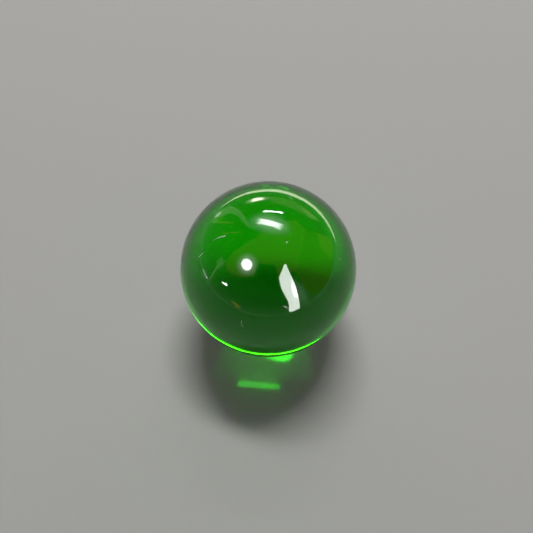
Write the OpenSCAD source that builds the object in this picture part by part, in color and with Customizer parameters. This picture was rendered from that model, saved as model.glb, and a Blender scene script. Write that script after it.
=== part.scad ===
// Solid acrylic ball, for a desk, a bench or a display stand.
//
// The ball is one piece of clear, dyed cast acrylic, turned round and then
// lapped and polished all over, so it has no seam, hole, flat or insert.
// Its whole form is one true sphere, and its diameter is its only size.
//
// The origin is the centre of the ball. +Z points up, away from whatever the
// ball lies on, and the lowest point is half a diameter below the origin.

/* [Ball] */
// Diameter of the finished, polished ball
ball_d = 60; // [20:1:150]

/* [Hidden] */

// Clear bottle green of the dyed acrylic
acrylic_green = [0.02, 0.45, 0.06];

// Sides of a great circle where the sphere has to be drawn with flat faces
$fn = 160;

// The whole ball, centred on the origin
module ball() {
    color(acrylic_green)
        sphere(d = ball_d);
}

ball();
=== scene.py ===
# %% [markdown]
# # A solid green acrylic ball
#
# A ball like this starts as a rough turned blank of dyed cast acrylic. It is
# lapped between cups until it is round, and then polished until it is as clear
# as glass. All that a picture of it shows comes from three things: how it bends
# light, how its dye takes the red and the blue out of that light, and the few
# marks that handling leaves in its polish.
#
# Lengths are in metres.

# %% Load the frame
import math

import bpy
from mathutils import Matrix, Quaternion, Vector
from mathutils.geometry import intersect_line_sphere, intersect_point_line


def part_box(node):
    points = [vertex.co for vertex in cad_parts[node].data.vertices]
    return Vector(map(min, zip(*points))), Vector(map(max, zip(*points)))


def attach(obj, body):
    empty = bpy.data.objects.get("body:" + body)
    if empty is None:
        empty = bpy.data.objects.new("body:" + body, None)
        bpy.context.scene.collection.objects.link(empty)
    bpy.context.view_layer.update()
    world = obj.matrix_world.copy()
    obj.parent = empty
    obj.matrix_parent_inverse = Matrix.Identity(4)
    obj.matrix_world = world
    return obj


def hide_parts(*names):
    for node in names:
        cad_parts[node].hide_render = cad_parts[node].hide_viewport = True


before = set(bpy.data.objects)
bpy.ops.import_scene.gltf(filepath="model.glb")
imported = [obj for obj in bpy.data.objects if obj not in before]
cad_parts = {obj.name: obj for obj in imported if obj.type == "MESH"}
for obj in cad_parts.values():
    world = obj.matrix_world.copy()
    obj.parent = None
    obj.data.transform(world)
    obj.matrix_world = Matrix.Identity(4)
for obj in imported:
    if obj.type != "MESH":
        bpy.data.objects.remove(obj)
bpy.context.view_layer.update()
scene = bpy.context.scene
print("CAD nodes:", sorted(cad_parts))

# %% [markdown]
# Every size below follows from the ball's radius in the construction model. The
# marks are given in millimetres on a ball of 60 mm, so their millimetre grows
# and shrinks with the ball.

# %% Read the ball's size from the frame
USUAL_RADIUS_MM = 30.0

low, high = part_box("ball")
ball_centre = (low + high) / 2
ball_radius = (high - low).z / 2
floor_z = ball_centre.z - ball_radius
MM = ball_radius / USUAL_RADIUS_MM
print(f"ball radius {ball_radius * 1000:.2f} mm, floor at z = {floor_z * 1000:.2f} mm")

# %% [markdown]
# ## The camera
#
# The camera looks down on the ball at 60 degrees, from less than an arm's
# length, with the view of a slightly wide lens. Once the lens is chosen, the
# radius of the ball and the radius at which it is seen give the distance. Two of
# the values move the ball off the middle of the picture by a pixel or two.

# %% Place the camera
PICTURE_PX = 533.0
FOCAL_PX = 560.0
BALL_RADIUS_PX = 88.2
BALL_RIGHT_PX = 1.8
BALL_DOWN_PX = 2.5
CAMERA_ELEVATION = math.radians(60)
SENSOR_WIDTH_MM = 36.0
NEAREST_SEEN = 0.01
FURTHEST_SEEN = 20.0

camera_distance = ball_radius / math.sin(math.atan(BALL_RADIUS_PX / FOCAL_PX))
camera_side = Vector((0, -math.cos(CAMERA_ELEVATION), math.sin(CAMERA_ELEVATION)))
camera_place = ball_centre + camera_side * camera_distance
picture_right = Vector((1, 0, 0))
picture_up = camera_side.cross(picture_right)
metres_per_px = camera_distance / FOCAL_PX
aim = ball_centre - picture_right * BALL_RIGHT_PX * metres_per_px
aim = aim + picture_up * BALL_DOWN_PX * metres_per_px

bpy.ops.object.camera_add(location=camera_place)
camera = bpy.context.object
camera.name = "camera"
camera.rotation_euler = (aim - camera_place).to_track_quat("-Z", "Y").to_euler()
camera.data.sensor_width = SENSOR_WIDTH_MM
camera.data.lens = SENSOR_WIDTH_MM * FOCAL_PX / PICTURE_PX
camera.data.clip_start = NEAREST_SEEN
camera.data.clip_end = FURTHEST_SEEN
scene.camera = camera
print(f"camera {camera_distance * 1000:.0f} mm from the ball, lens {camera.data.lens:.1f} mm")

# %% [markdown]
# ## The floor
#
# Clear things are hard to light, because they show what is behind them. Here
# that is the floor: nearly all that the camera sees through the ball is the
# floor beneath it and just behind it. The floor is a plain matte disc, so wide
# that its rim lies near the horizon. It has no gloss at all, since a floor with
# gloss mirrors the window and turns white in low views.

# %% Make the floor
FLOOR_RADIUS = 1.6
FLOOR_CORNERS = 96
FLOOR_COLOUR = (0.42, 0.416, 0.407, 1.0)
FLOOR_ROUGHNESS = 1.0
FLOOR_SPECULAR = 0.0

bpy.ops.mesh.primitive_circle_add(vertices=FLOOR_CORNERS, radius=FLOOR_RADIUS, fill_type="NGON")
floor = bpy.context.object
floor.name = "floor"
floor.location = (ball_centre.x, ball_centre.y, floor_z)
matte = bpy.data.materials.new("pale matte")
matte.use_nodes = True
matte_shader = matte.node_tree.nodes["Principled BSDF"]
matte_shader.inputs["Base Color"].default_value = FLOOR_COLOUR
matte_shader.inputs["Roughness"].default_value = FLOOR_ROUGHNESS
matte_shader.inputs["Specular IOR Level"].default_value = FLOOR_SPECULAR
floor.data.materials.append(matte)
print(f"floor {2 * FLOOR_RADIUS:.1f} m across")

# %% [markdown]
# ## The room
#
# A dim room gives a clear ball its depth: a white room would lay a grey veil of
# reflections over the green. The world is therefore pale only at the horizon,
# where it meets the floor, and fades to near black overhead. Its colour follows
# the height of the view direction, through a ramp whose stops are written as
# elevations in degrees.

# %% Make the world
WORLD_STOPS = (
    (0.0, 0.45),
    (3.0, 0.22),
    (14.0, 0.09),
    (50.0, 0.015),
)
WORLD_TINT = (1.0, 0.985, 0.95)

world = bpy.data.worlds.new("dim room")
scene.world = world
world.use_nodes = True
nodes = world.node_tree.nodes
links = world.node_tree.links
direction = nodes.new("ShaderNodeTexCoord")
height = nodes.new("ShaderNodeSeparateXYZ")
ramp = nodes.new("ShaderNodeValToRGB")
links.new(direction.outputs["Generated"], height.inputs["Vector"])
links.new(height.outputs["Z"], ramp.inputs["Fac"])
links.new(ramp.outputs["Color"], nodes["Background"].inputs["Color"])
stops = ramp.color_ramp.elements
while len(stops) < len(WORLD_STOPS):
    stops.new(0.5)
for stop, (elevation, radiance) in zip(stops, WORLD_STOPS):
    stop.position = math.sin(math.radians(elevation))
    stop.color = (*[radiance * part for part in WORLD_TINT], 1)
print("world stops:", [(round(s.position, 3), round(s.color[0], 3)) for s in stops])

# %% [markdown]
# ## Reading directions off the ball
#
# A polished ball mirrors its whole room in one small picture. So the pixel at
# which a window shows in the gloss tells where the window stands: the camera's
# ray through that pixel is followed to the ball and mirrored off its surface.
# With the helpers below, each thing in the room is placed by the pixel at which
# its reflection shows, and each mark on the ball by the pixel at which it is
# seen. Pixels are counted from the top left corner of the picture.

# %% Rays through pixels
look = (aim - camera_place).normalized()
look_right = look.cross(Vector((0, 0, 1))).normalized()
look_up = look_right.cross(look)


def ray_through(x_px, y_px):
    """The direction of the camera's ray through a pixel."""
    across = (x_px - PICTURE_PX / 2) / FOCAL_PX
    down = (y_px - PICTURE_PX / 2) / FOCAL_PX
    return (look + look_right * across - look_up * down).normalized()


def seen_on_ball(x_px, y_px):
    """The direction from the ball's centre to the place on its surface that a pixel shows."""
    far_end = camera_place + ray_through(x_px, y_px) * 2 * camera_distance
    hits = intersect_line_sphere(camera_place, far_end, ball_centre, ball_radius)
    hit = min(hits, key=lambda place: (place - camera_place).length)
    return (hit - ball_centre).normalized()


def mirrored_at(x_px, y_px):
    """The direction in the room that the ball's gloss shows at a pixel."""
    return ray_through(x_px, y_px).reflect(seen_on_ball(x_px, y_px))


middle = mirrored_at(PICTURE_PX / 2, PICTURE_PX / 2)
print("the middle of the picture mirrors", [round(part, 2) for part in middle])

# %% [markdown]
# ## Lamps
#
# All lamps stand on one large shell round the ball, and each is given by its
# direction and by the width and height that it has as seen from the ball, in
# degrees. Azimuth 0 is the far side and 90 the right. A lamp's power then
# follows from its radiance, so a lamp can be made larger without guessing its
# watts anew.
#
# The lamps only light things and stay out of the gloss. What the gloss shows is
# made of cards and panes, in the next steps, because that small picture of the
# room needs finer control than the light does. The low lamp at the far side
# would also show through the ball as a wide bar, so it is hidden there.

# %% Directions on the shell
SHELL_RADIUS = 2.5
WARM = (1.0, 0.97, 0.90)
NEUTRAL = (1.0, 1.0, 1.0)


def towards(azimuth, elevation):
    """The direction from the ball, with azimuth 0 at the far side and 90 at the right."""
    a = math.radians(azimuth)
    e = math.radians(elevation)
    return Vector((math.sin(a) * math.cos(e), math.cos(a) * math.cos(e), math.sin(e)))


def span(degrees, distance=SHELL_RADIUS):
    """The width that covers so many degrees at a distance."""
    return 2 * distance * math.tan(math.radians(degrees) / 2)


def face_ball(thing, side, lean, distance=SHELL_RADIUS):
    """Stands a thing in a direction, turned to the ball. A positive lean lifts its right end."""
    thing.location = ball_centre + side * distance
    upright = side.to_track_quat("Z", "Y")
    thing.rotation_euler = (upright @ Quaternion((0, 0, 1), math.radians(-lean))).to_euler()


# %% Set up the lamps
def add_lamp(name, azimuth, elevation, width, height, radiance, lean=0, colour=NEUTRAL):
    """Adds a rectangular lamp of a given radiance. Returns the share of full light that it gives."""
    bpy.ops.object.light_add(type="AREA")
    lamp = bpy.context.object
    lamp.name = name
    lamp.data.shape = "RECTANGLE"
    lamp.data.size = span(width)
    lamp.data.size_y = span(height)
    area = lamp.data.size * lamp.data.size_y
    lamp.data.energy = radiance * math.pi * area
    lamp.data.color = colour
    face_ball(lamp, towards(azimuth, elevation), lean)
    lamp.visible_camera = False
    lamp.visible_glossy = False
    return radiance * area / SHELL_RADIUS**2 * math.sin(math.radians(elevation)) / math.pi


shares = (
    add_lamp("key lamp", azimuth=3, elevation=62.5, width=28, height=7, radiance=36, lean=15),
    add_lamp("soft key", azimuth=3, elevation=64, width=50, height=36, radiance=0.6),
    add_lamp("tube lamp", azimuth=6, elevation=43.6, width=20, height=1.8, radiance=12, lean=-1),
    add_lamp("overhead lamp", azimuth=120, elevation=78, width=55, height=50, radiance=0.1, colour=WARM),
    add_lamp("side wall", azimuth=98, elevation=27, width=70, height=42, radiance=0.1, colour=WARM),
    add_lamp("low far light", azimuth=0, elevation=14, width=110, height=16, radiance=2.9, colour=WARM),
)
bpy.data.objects["low far light"].visible_transmission = False
print("shares of full light:", [round(share, 2) for share in shares], f"together {sum(shares):.2f}")

# %% [markdown]
# The ball is also a lens. It draws the light of each lamp together into a green
# patch on the floor, just in front of where it stands. The renderer normally
# blurs such patches to save time, and this setting stops that.

# %% Keep the lens light sharp
scene.cycles.blur_glossy = 0.0
scene.cycles.caustics_refractive = True

# %% [markdown]
# ## Cards
#
# A card is a plane with a glow on it, seen by glossy rays alone. Its glow fades
# out towards its edges by a softness from 0 to 1, measured on its UV map, and
# what has faded is see-through, so a bright core can stand in front of a wide,
# dim halo. The finish first moves the middle of the UV square to 0 and its edges
# to 1, and then fades by the distance from the middle.

# %% Glow finish for the cards
SHARPEST_FADE = 0.999


def glow_finish(name, radiance, colour, softness, is_round):
    """An emission that fades to transparent at the edges of a UV square or its inscribed circle."""
    finish = bpy.data.materials.new(name)
    finish.use_nodes = True
    finish.cycles.emission_sampling = "NONE"
    tree = finish.node_tree
    tree.nodes.clear()
    place = tree.nodes.new("ShaderNodeTexCoord")
    centred = tree.nodes.new("ShaderNodeVectorMath")
    centred.operation = "MULTIPLY_ADD"
    centred.inputs[1].default_value = (2, 2, 0)
    centred.inputs[2].default_value = (-1, -1, 0)
    tree.links.new(place.outputs["UV"], centred.inputs[0])
    if is_round:
        reach = tree.nodes.new("ShaderNodeVectorMath")
        reach.operation = "LENGTH"
        tree.links.new(centred.outputs["Vector"], reach.inputs[0])
        distance_out = reach.outputs["Value"]
    else:
        positive = tree.nodes.new("ShaderNodeVectorMath")
        positive.operation = "ABSOLUTE"
        tree.links.new(centred.outputs["Vector"], positive.inputs[0])
        parts = tree.nodes.new("ShaderNodeSeparateXYZ")
        tree.links.new(positive.outputs["Vector"], parts.inputs["Vector"])
        larger = tree.nodes.new("ShaderNodeMath")
        larger.operation = "MAXIMUM"
        tree.links.new(parts.outputs["X"], larger.inputs[0])
        tree.links.new(parts.outputs["Y"], larger.inputs[1])
        distance_out = larger.outputs["Value"]
    fade = tree.nodes.new("ShaderNodeMapRange")
    fade.interpolation_type = "SMOOTHERSTEP"
    fade.inputs["From Min"].default_value = 1.0
    fade.inputs["From Max"].default_value = min(1.0 - softness, SHARPEST_FADE)
    tree.links.new(distance_out, fade.inputs["Value"])
    glow = tree.nodes.new("ShaderNodeEmission")
    glow.inputs["Color"].default_value = (*colour, 1)
    glow.inputs["Strength"].default_value = radiance
    clear = tree.nodes.new("ShaderNodeBsdfTransparent")
    mix = tree.nodes.new("ShaderNodeMixShader")
    tree.links.new(fade.outputs["Result"], mix.inputs["Fac"])
    tree.links.new(clear.outputs["BSDF"], mix.inputs[1])
    tree.links.new(glow.outputs["Emission"], mix.inputs[2])
    output = tree.nodes.new("ShaderNodeOutputMaterial")
    tree.links.new(mix.outputs["Shader"], output.inputs["Surface"])
    return finish


def show_in_gloss_only(thing):
    """Hides a thing from all rays but glossy ones, and keeps it out of the CAD comparison."""
    thing.visible_camera = False
    thing.visible_diffuse = False
    thing.visible_transmission = False
    thing.visible_shadow = False
    thing.visible_volume_scatter = False


def add_card(name, seen_px, width, height, radiance, lean=0, colour=NEUTRAL, softness=1.0,
             is_round=True, reach=1.0):
    """Adds a card whose reflection is centred on a pixel. Its reach is its distance in shell radii."""
    distance = SHELL_RADIUS * reach
    bpy.ops.mesh.primitive_plane_add(size=1)
    card = bpy.context.object
    card.name = name
    card.scale = (span(width, distance), span(height, distance), 1)
    face_ball(card, mirrored_at(*seen_px), lean, distance)
    card.data.materials.append(glow_finish(name, radiance, colour, softness, is_round))
    show_in_gloss_only(card)


# %% [markdown]
# Each lamp shows as a bright core in a wide, dim halo, because a lens spreads a
# little of a very bright light. The two share a pixel, and the core stands in
# front. The haze belongs to the window and stands behind it.

# %% Where the cards show in the gloss
KEY_PX = (270, 223.4)
TUBE_PX = (273, 211.8)
SPOT_PX = (246.9, 264.6)
SMALL_SPOT_PX = (225, 283.7)
FAR_LAMP_PX = (257.2, 199.7)
DOOR_HANDLE_PX = (218.4, 214.8)
CURTAIN_ROD_PX = (214.5, 271.4)
WINDOW_HAZE_PX = (300, 292)

# %% Add the cards
CREAM = (1.0, 0.93, 0.74)
COOL = (0.94, 1.0, 0.93)
PUTTY = (1.0, 0.95, 0.70)
IN_FRONT = 0.98
BEHIND = 1.2

add_card("key halo", KEY_PX, width=60, height=38, radiance=3.2, lean=15)
add_card("key glow", KEY_PX, width=34, height=11, radiance=26, lean=15, softness=0.75,
         is_round=False, reach=IN_FRONT)
add_card("tube glow", TUBE_PX, width=21.5, height=3.4, radiance=26, lean=-5, softness=0.2,
         is_round=False, reach=IN_FRONT)
add_card("spot halo", SPOT_PX, width=34, height=34, radiance=5, colour=WARM)
add_card("spot glow", SPOT_PX, width=17, height=15, radiance=36, softness=0.45, reach=IN_FRONT)
add_card("small spot glow", SMALL_SPOT_PX, width=9.5, height=3.2, radiance=32, lean=-19,
         softness=0.4, reach=IN_FRONT)
add_card("far lamp halo", FAR_LAMP_PX, width=28, height=14, radiance=3.5, colour=CREAM)
add_card("far lamp glow", FAR_LAMP_PX, width=16, height=9, radiance=22, colour=CREAM,
         softness=0.9, reach=IN_FRONT)
# The door handle and the curtain rod are no lamps: their cards are painted glints of them in the gloss.
add_card("door handle", DOOR_HANDLE_PX, width=10, height=9, radiance=4, lean=10, colour=COOL,
         softness=0.8, reach=IN_FRONT)
add_card("curtain rod", CURTAIN_ROD_PX, width=2.4, height=31, radiance=1.2, lean=-14, colour=PUTTY,
         softness=0.4, is_round=False, reach=IN_FRONT)
add_card("window haze", WINDOW_HAZE_PX, width=20, height=52, radiance=1, lean=-5, colour=COOL,
         reach=BEHIND)

# %% [markdown]
# ## Panes
#
# The larger parts of the room are panes: a window with a bright gap in its
# curtain, a door, a shelf, a dim warm ceiling that ends in a dark notch above the
# camera, the wall at the right with a board on it, three thin rails at the left
# and a low stool. Each pane is an even glow that only glossy rays see and that
# lights nothing. Apart from the window and its gap, these are no lamps, so their
# glow is a painted reflection of how lit they look. A pane is a circle with few
# corners. Each corner is put in the direction that the gloss shows at one pixel,
# and a pane that stands in front of another is a little nearer the ball, so it
# has a smaller reach.

# %% Where the panes' corners show in the gloss
WINDOW_PX = (
    (285.5, 263.8), (283.5, 265.5), (278.8, 277.5), (280.3, 286.4), (288.2, 301.7),
    (289.2, 312), (300, 308.2), (296.5, 289.6), (289.6, 272.5),
)
CURTAIN_GAP_PX = ((289.2, 280), (291.6, 279.6), (297, 291.3), (298, 296.7), (294.6, 297), (291.6, 289.6))
DOOR_PX = (
    (212, 222), (218, 212), (230, 206), (241, 211), (246, 219), (252, 229),
    (246, 226), (239, 217), (230, 213), (219, 219), (216, 224),
)
SHELF_PX = (
    (267.4, 197), (294, 201.6), (309.8, 212.2), (319.2, 221.7), (309.6, 218.5), (293.8, 210), (272.6, 203.2),
)
SHELF_END_PX = ((299, 207), (309.8, 212.2), (319.2, 221.7), (309.6, 218.5))
CEILING_PX = (
    (254, 276), (240, 278), (226, 270), (226, 262), (235, 250), (245, 246), (254, 240), (262, 232),
    (275, 230), (284, 223), (294, 219), (305.5, 230), (301.5, 249.5), (294.5, 271.5),
    (278, 276), (276, 270), (275, 264), (256, 264), (256, 272),
)
WALL_PX = (
    (305.5, 230), (330, 240), (331.6, 258.7), (326, 285), (318, 292), (312, 296),
    (305.5, 290), (294.5, 271.5), (301.5, 249.5),
)
BOARD_PX = ((317, 232.8), (331.4, 240.2), (331.4, 258.8), (319.7, 248.2))
CURTAIN_PX = ((216, 260.5), (223, 257), (225, 264.6), (219, 269.6))
UPPER_RAIL_PX = ((214.6, 217.4), (215.4, 219.4), (224.6, 219.2), (224.6, 218))
RAIL_PX = ((215, 223.4), (217, 221.7), (226, 221.8), (233.5, 222.6), (233.5, 223.6), (226, 223.6))
LOWER_RAIL_PX = (
    (222.4, 233.1), (231, 232.4), (240.5, 232.2), (240.5, 233), (231, 233.4), (222.4, 234.2),
)
STOOL_PX = (
    (230.8, 300.7), (234.5, 301.7), (238, 304.3), (240.2, 306.2),
    (240.5, 307.8), (236.8, 308.2), (235.6, 305),
)

# %% Add the panes
OLIVE = (1.0, 0.78, 0.16)
BROWN = (1.0, 0.80, 0.50)


def plain_glow(name, radiance, colour):
    """An even emission, which only rays that hit it by chance pick up."""
    finish = bpy.data.materials.new(name)
    finish.use_nodes = True
    finish.cycles.emission_sampling = "NONE"
    finish.node_tree.nodes.clear()
    glow = finish.node_tree.nodes.new("ShaderNodeEmission")
    glow.inputs["Color"].default_value = (*colour, 1)
    glow.inputs["Strength"].default_value = radiance
    output = finish.node_tree.nodes.new("ShaderNodeOutputMaterial")
    finish.node_tree.links.new(glow.outputs["Emission"], output.inputs["Surface"])
    return finish


def add_pane(name, directions, radiance, colour, reach):
    """Adds a pane with its corners in the given directions. Its reach is its distance in shell radii."""
    bpy.ops.mesh.primitive_circle_add(vertices=len(directions), fill_type="NGON", location=ball_centre)
    pane = bpy.context.object
    pane.name = name
    for corner, direction in zip(pane.data.vertices, directions):
        corner.co = direction * SHELL_RADIUS * reach
    pane.data.materials.append(plain_glow(name, radiance, colour))
    show_in_gloss_only(pane)
    return pane


def mirrored_outline(outline_px):
    """The directions that the gloss shows at the pixels of an outline."""
    return [mirrored_at(*corner_px) for corner_px in outline_px]


# Apart from the window and its gap, these panes are no lamps: each is a painted reflection of a lit part of
# the room, an even glow that lights nothing.
add_pane("ceiling", mirrored_outline(CEILING_PX), radiance=0.46, colour=OLIVE, reach=2.0)
add_pane("wall", mirrored_outline(WALL_PX), radiance=0.28, colour=OLIVE, reach=1.5)
add_pane("board", mirrored_outline(BOARD_PX), radiance=0.6, colour=OLIVE, reach=1.3)
add_pane("door", mirrored_outline(DOOR_PX), radiance=0.8, colour=PUTTY, reach=1.3)
add_pane("shelf", mirrored_outline(SHELF_PX), radiance=0.55, colour=BROWN, reach=1.3)
add_pane("shelf end", mirrored_outline(SHELF_END_PX), radiance=1.2, colour=BROWN, reach=1.2)
add_pane("curtain", mirrored_outline(CURTAIN_PX), radiance=0.6, colour=PUTTY, reach=1.2)
add_pane("upper rail", mirrored_outline(UPPER_RAIL_PX), radiance=0.5, colour=OLIVE, reach=1.2)
add_pane("rail", mirrored_outline(RAIL_PX), radiance=0.8, colour=OLIVE, reach=1.2)
add_pane("lower rail", mirrored_outline(LOWER_RAIL_PX), radiance=1.6, colour=OLIVE, reach=1.2)
add_pane("stool", mirrored_outline(STOOL_PX), radiance=1.7, colour=OLIVE, reach=1.2)
add_pane("window", mirrored_outline(WINDOW_PX), radiance=17, colour=COOL, reach=1.1)
add_pane("curtain gap", mirrored_outline(CURTAIN_GAP_PX), radiance=34, colour=NEUTRAL, reach=1.05)

# %% [markdown]
# ## The low strip
#
# A low strip of cream light stands along the far horizon, and it shows twice. Its
# mirror image in the gloss is the cream arc near the top of the ball. Through the
# ball it is turned upside down, and it is the bright line along the lower edge.
# That line is the stronger of the two, so it has a pane of its own, which only
# rays that went through the ball see.

# %% Add the low strip
STRIP_LEFT = -35
STRIP_RIGHT = 66
STRIP_FOOT = -0.7
STRIP_STEPS = 8


def strip_outline(rise, roundness):
    """A strip in degrees along the horizon. The larger the roundness, the more its ends taper."""
    outline = [towards(STRIP_LEFT, STRIP_FOOT), towards(STRIP_RIGHT, STRIP_FOOT)]
    for step in range(1, STRIP_STEPS):
        share = step / STRIP_STEPS
        azimuth = STRIP_RIGHT + (STRIP_LEFT - STRIP_RIGHT) * share
        outline.append(towards(azimuth, STRIP_FOOT + rise * math.sin(math.pi * share) ** roundness))
    return outline


add_pane("strip glow", strip_outline(rise=6.2, roundness=0.7), radiance=4.5, colour=CREAM, reach=1.0)
low_strip = add_pane(
    "low strip", strip_outline(rise=2.7, roundness=0.25), radiance=20, colour=CREAM, reach=1.0
)
low_strip.visible_glossy = False
low_strip.visible_transmission = True

# %% [markdown]
# ## The ball
#
# Blender's own sphere primitives have poles, where thin triangles meet and pull
# at the reflections. A cube whose faces are divided over and over, and pushed
# out to a sphere after each division, has none: its squares are all of nearly
# one size. At the end a Cast modifier puts every corner at the exact radius.

# %% Make the round blank
DOUBLINGS = 6


def cast_round(thing):
    """Puts every corner of the ball's mesh at the ball's exact radius."""
    cast = thing.modifiers.new("round", "CAST")
    cast.cast_type = "SPHERE"
    cast.factor = 1.0
    cast.use_radius_as_size = False
    cast.size = ball_radius
    bpy.ops.object.modifier_apply(modifier="round")


bpy.ops.object.select_all(action="DESELECT")
bpy.ops.mesh.primitive_cube_add(size=ball_radius, location=ball_centre)
ball = bpy.context.object
ball.name = "polished_ball"
bpy.ops.object.mode_set(mode="EDIT")
for doubling in range(DOUBLINGS):
    bpy.ops.mesh.select_all(action="SELECT")
    bpy.ops.mesh.subdivide(number_cuts=1)
    bpy.ops.transform.tosphere(value=1)
bpy.ops.object.mode_set(mode="OBJECT")
cast_round(ball)
print("squares:", len(ball.data.polygons))
radii = [corner.co.length for corner in ball.data.vertices]
print(f"radius from {min(radii) * 1000:.4f} to {max(radii) * 1000:.4f} mm")

# %% [markdown]
# ## Marks in the polish
#
# A ball that is handled gets marks: a few hairline scratches, short dents and
# pits no wider than a pencil line. Each is a path of pixels at which it is seen,
# with half its width and its depth in millimetres, and how worn it is from 0 to
# 1. A pit has one point.

# %% Where the marks are
MARKS_PX = {
    "hairline": (((199.3, 256.6), (203.5, 252.5)), 0.17, 0.02, 0.7),
    "hairline end": (((199.3, 256.6),), 0.30, 0.03, 1.0),
    "dent": (((203.3, 270), (204.8, 274), (207, 278)), 0.44, 0.05, 1.0),
    "dent top": (((205, 267.8),), 0.24, 0.02, 0.5),
    "scuff": (((216.4, 238.5), (221, 236.8), (225.3, 235.8)), 0.24, 0.02, 0.8),
    "scuff tail": (((213.2, 240.5), (216.4, 238.5)), 0.16, 0.02, 0.35),
    "nick": (((241.7, 320.3), (241.1, 323.2), (241.6, 325.5), (243.5, 326.9)), 0.20, 0.03, 1.0),
    "nick pit": (((242.3, 330.9),), 0.26, 0.03, 1.0),
    "short scratch": (((283.3, 306.2), (287.9, 307.3)), 0.20, 0.02, 1.0),
    "left pit": (((198, 242.6),), 0.26, 0.02, 1.0),
    "top pit": (((287, 242),), 0.32, 0.03, 1.0),
    "right pit": (((340, 259),), 0.34, 0.02, 1.0),
    "upper right pit": (((341, 246),), 0.30, 0.02, 0.8),
    "front pit": (((262.4, 327),), 0.20, 0.02, 0.7),
    "front right pit": (((295.4, 331.5),), 0.22, 0.02, 0.7),
    "low pit": (((257.5, 343.5),), 0.20, 0.02, 0.7),
    "far pit": (((296.3, 188.8),), 0.24, 0.02, 0.7),
    "far scratch": (((289, 196.8), (291.6, 199)), 0.16, 0.02, 0.6),
}


def gap_to_path(place, path):
    """The distance from a place to a path of straight stretches."""
    if len(path) == 1:
        return (place - path[0]).length
    gaps = []
    for start, end in zip(path, path[1:]):
        foot, share = intersect_point_line(place, start, end)
        foot = start.lerp(end, min(max(share, 0), 1))
        gaps.append((place - foot).length)
    return min(gaps)


def is_near(place, mark, margin):
    """Whether a place lies within a margin of a mark. The first test is a quick one."""
    path, half_width = mark[:2]
    reach = half_width + margin
    if (place - path[0]).length > reach + (path[-1] - path[0]).length:
        return False
    return gap_to_path(place, path) < reach


marks = []
for path_px, half_width_mm, depth_mm, wear in MARKS_PX.values():
    path = [seen_on_ball(*point_px) * ball_radius for point_px in path_px]
    marks.append((path, half_width_mm * MM, depth_mm * MM, wear))
print(len(marks), "marks")

# %% [markdown]
# The ball's squares are wider than the marks, so the squares near each mark are
# divided three times more, each time in a smaller patch, and put back on the
# sphere. That keeps the mesh fine only where it has to be.

# %% Make the mesh finer near the marks
FINER_PATCHES_MM = (1.0, 0.6, 0.35)

for margin_mm in FINER_PATCHES_MM:
    bpy.ops.object.mode_set(mode="EDIT")
    bpy.ops.mesh.select_mode(type="FACE")
    bpy.ops.mesh.select_all(action="DESELECT")
    bpy.ops.object.mode_set(mode="OBJECT")
    found = 0
    for face in ball.data.polygons:
        face.select = any(is_near(face.center, mark, margin_mm * MM) for mark in marks)
        found += face.select
    bpy.ops.object.mode_set(mode="EDIT")
    bpy.ops.mesh.subdivide(number_cuts=1, ngon=False)
    bpy.ops.object.mode_set(mode="OBJECT")
    cast_round(ball)
    print(f"{found} faces within {margin_mm} mm of a mark divided")
print("faces now:", len(ball.data.polygons))

# %% [markdown]
# A mark is pressed in by scaling its vertices towards the ball's centre by a
# hair, first all of them and then ever narrower rings, so that it gets a round
# bottom. How worn each place is, from 0 to 1, also goes to an attribute, which
# the finish reads later.

# %% Press the marks in
RINGS = (1.0, 0.75, 0.5, 0.25)

ball.data.attributes.new("worn", "FLOAT", "POINT")
for mark in marks:
    path, half_width, depth, wear = mark
    gaps = {c.index: gap_to_path(c.co, path) for c in ball.data.vertices if is_near(c.co, mark, 0)}
    for index, gap in gaps.items():
        ball.data.attributes["worn"].data[index].value = wear * (1 - (gap / half_width) ** 2)
    for ring in RINGS:
        bpy.ops.object.mode_set(mode="EDIT")
        bpy.ops.mesh.select_mode(type="VERT")
        bpy.ops.mesh.select_all(action="DESELECT")
        bpy.ops.object.mode_set(mode="OBJECT")
        for index, gap in gaps.items():
            ball.data.vertices[index].select = gap < half_width * ring
        bpy.ops.object.mode_set(mode="EDIT")
        press = 1 - depth / len(RINGS) / ball_radius
        bpy.ops.transform.resize(value=(press, press, press), center_override=ball_centre)
        bpy.ops.object.mode_set(mode="OBJECT")
radii = [corner.co.length for corner in ball.data.vertices]
print(f"radius from {min(radii) * 1000:.4f} to {max(radii) * 1000:.4f} mm")

# %% [markdown]
# The transform is applied, so that the finished ball's own axes are those of the
# construction model. Smooth shading hides the squares, which are far finer than
# any bend that the eye could follow.

# %% Finish the ball's mesh
bpy.ops.object.transform_apply(location=True, rotation=True, scale=True)
bpy.ops.object.shade_smooth()
print(ball.name, len(ball.data.polygons), "faces")

# %% [markdown]
# ## The finish: dyed acrylic
#
# Acrylic bends light a little less than window glass, with an index of 1.49. Its
# colour isn't on its surface but in its depth: the further light goes through
# the ball, the more the dye takes from it. So the surface is clear, and a volume
# inside absorbs. The dye is given by the share of each colour that is left after
# the whole width of the ball, and the volume's density and colour follow. A
# little headroom in the density keeps every colour of the volume above zero.

# %% Clear surface and dyed depth
ACRYLIC_INDEX = 1.49
THROUGH = (0.009, 0.68, 0.0004)
DENSITY_HEADROOM = 1.02

acrylic = bpy.data.materials.new("green acrylic")
acrylic.use_nodes = True
tree = acrylic.node_tree
shader = tree.nodes["Principled BSDF"]
shader.inputs["Base Color"].default_value = (1, 1, 1, 1)
shader.inputs["IOR"].default_value = ACRYLIC_INDEX
taken = [-math.log(share) / (2 * ball_radius) for share in THROUGH]
dye = tree.nodes.new("ShaderNodeVolumeAbsorption")
dye_density = max(taken) * DENSITY_HEADROOM
dye.inputs["Density"].default_value = dye_density
dye.inputs["Color"].default_value = (*[1 - part / dye_density for part in taken], 1)
tree.links.new(dye.outputs["Volume"], tree.nodes["Material Output"].inputs["Volume"])
print(f"dye takes {taken[0]:.0f}, {taken[1]:.0f} and {taken[2]:.0f} per metre of red, green and blue")

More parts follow.
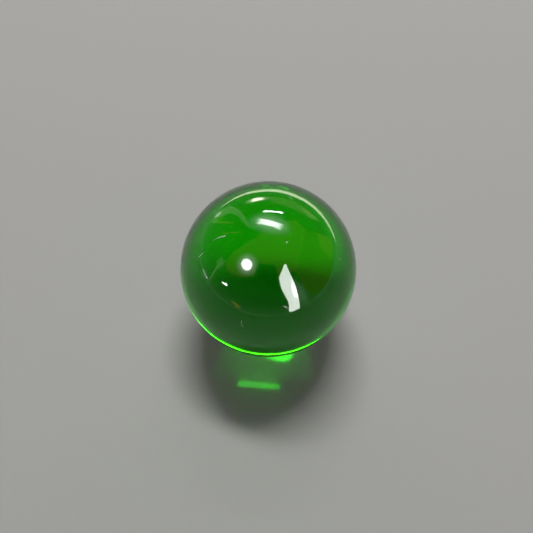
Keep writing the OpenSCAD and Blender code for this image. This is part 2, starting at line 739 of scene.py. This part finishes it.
# %% [markdown]
# The polish isn't quite even. Fingers leave soft smudges, which a noise with
# large patches gives, and cloths leave hairlines, which are a noise drawn out
# into streaks, in two directions. Both read Object coordinates, so they stay on
# the ball. They change the roughness by a little, and the hairlines also the
# bump, so that highlights get a faint uneven edge and no more.

# %% Helpers for the nodes
STREAK_DETAIL = 2.0
STREAK_WAVER = 0.4


def add_math(operation, *inputs):
    """Adds a Math node. Each input is a number or another node's output."""
    node = tree.nodes.new("ShaderNodeMath")
    node.operation = operation
    for socket, value in zip(node.inputs, inputs):
        if isinstance(value, (int, float)):
            socket.default_value = value
        else:
            tree.links.new(value, socket)
    return node.outputs[0]


def add_streaks(turn, stretch, threshold):
    """Sparse hairlines: a noise that is long one way and fine the other, cut off at a threshold."""
    mapping = tree.nodes.new("ShaderNodeMapping")
    mapping.inputs["Rotation"].default_value = turn
    mapping.inputs["Scale"].default_value = stretch
    tree.links.new(object_place, mapping.inputs["Vector"])
    noise = tree.nodes.new("ShaderNodeTexNoise")
    noise.inputs["Scale"].default_value = 1.0
    noise.inputs["Detail"].default_value = STREAK_DETAIL
    noise.inputs["Distortion"].default_value = STREAK_WAVER
    tree.links.new(mapping.outputs["Vector"], noise.inputs["Vector"])
    above = add_math("SUBTRACT", noise.outputs["Fac"], threshold)
    return add_math("MULTIPLY", add_math("MAXIMUM", above, 0.0), 1 / (1 - threshold))


# %% [markdown]
# The roughness adds up from four parts: the bare polish, the smudges, the
# hairlines and the worn marks. A worn mark is also a little cloudy, so it lets
# less light through and shows as a pale line.

# %% Smudges, hairlines and worn places
POLISH = 0.012
SMUDGE = 0.05
HAIRLINE = 0.20
WORN = 0.45
CLOUDED = 0.45
SMUDGES_PER_METRE = 55.0
SMUDGE_DETAIL = 3.0
HAIRLINE_BUMP = 0.15
HAIRLINE_DEPTH_MM = 0.02
HAIRLINES = {
    "turn": (0.5, 0.2, 0.9),
    "stretch": (40, 2600, 160),
    "threshold": 0.66,
}
CROSS_HAIRLINES = {
    "turn": (1.3, 0.7, 0.2),
    "stretch": (2300, 50, 140),
    "threshold": 0.68,
}

place = tree.nodes.new("ShaderNodeTexCoord")
object_place = place.outputs["Object"]
smudges = tree.nodes.new("ShaderNodeTexNoise")
smudges.inputs["Scale"].default_value = SMUDGES_PER_METRE
smudges.inputs["Detail"].default_value = SMUDGE_DETAIL
tree.links.new(object_place, smudges.inputs["Vector"])
smudge = add_math("MAXIMUM", add_math("SUBTRACT", smudges.outputs["Fac"], 0.5), 0.0)
streaks = add_math("MAXIMUM", add_streaks(**HAIRLINES), add_streaks(**CROSS_HAIRLINES))
worn_value = tree.nodes.new("ShaderNodeAttribute")
worn_value.attribute_name = "worn"
worn_out = worn_value.outputs["Fac"]

rough = add_math("MULTIPLY_ADD", smudge, 2 * SMUDGE, POLISH)
rough = add_math("MULTIPLY_ADD", streaks, HAIRLINE, rough)
rough = add_math("MULTIPLY_ADD", worn_out, WORN, rough)
tree.links.new(rough, shader.inputs["Roughness"])
cloudy = add_math("MULTIPLY_ADD", worn_out, -CLOUDED, 1.0)
tree.links.new(cloudy, shader.inputs["Transmission Weight"])
bump = tree.nodes.new("ShaderNodeBump")
bump.inputs["Strength"].default_value = HAIRLINE_BUMP
bump.inputs["Distance"].default_value = HAIRLINE_DEPTH_MM * MM
tree.links.new(streaks, bump.inputs["Height"])
tree.links.new(bump.outputs["Normal"], shader.inputs["Normal"])
ball.data.materials.append(acrylic)
print("finish:", acrylic.name, "with", len(tree.nodes), "nodes")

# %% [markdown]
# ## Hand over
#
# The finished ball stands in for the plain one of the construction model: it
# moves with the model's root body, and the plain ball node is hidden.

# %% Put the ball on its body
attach(ball, "root")
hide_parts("ball")

# %% [markdown]
# The Standard view transform shows each colour as it is written. A filmic one
# would turn the green of the lens light towards white.

# %% View transform
scene.view_settings.view_transform = "Standard"
